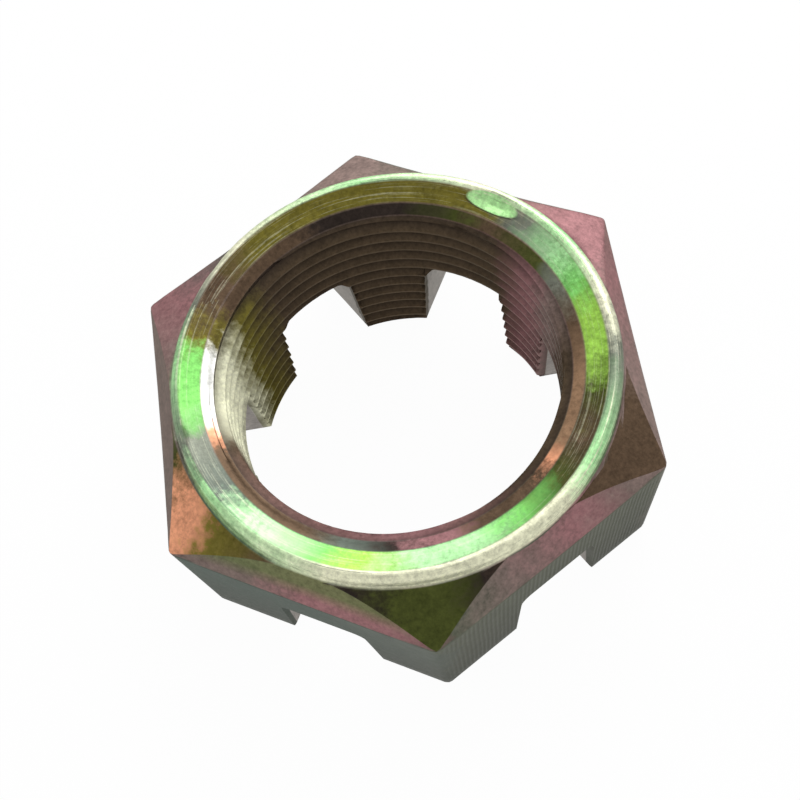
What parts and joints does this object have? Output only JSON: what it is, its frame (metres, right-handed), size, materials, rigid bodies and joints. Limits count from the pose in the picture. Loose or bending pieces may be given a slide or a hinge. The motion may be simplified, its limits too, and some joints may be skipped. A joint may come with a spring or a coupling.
{
  "type": "castle nut",
  "caption": "Thin hexagonal castle nut with a threaded bore, a raised bearing ring on one end, and slots for a split pin cut across the other end.",
  "frame": {"origin": "on the thread axis, in the plane of the slotted end that the nut stands on", "axes": "+Z along the thread axis towards the bearing ring; two of the hexagon's corners on the X axis, two slots leaving along +Y and -Y"},
  "size_m": [0.0472, 0.041, 0.019],
  "materials": {
    "zinc_chromate_steel": "zinc plated steel with a yellow iridescent chromate, satin"
  },
  "bodies": {
    "root": {"castle_nut": "zinc_chromate_steel"}
  },
  "joints": []
}
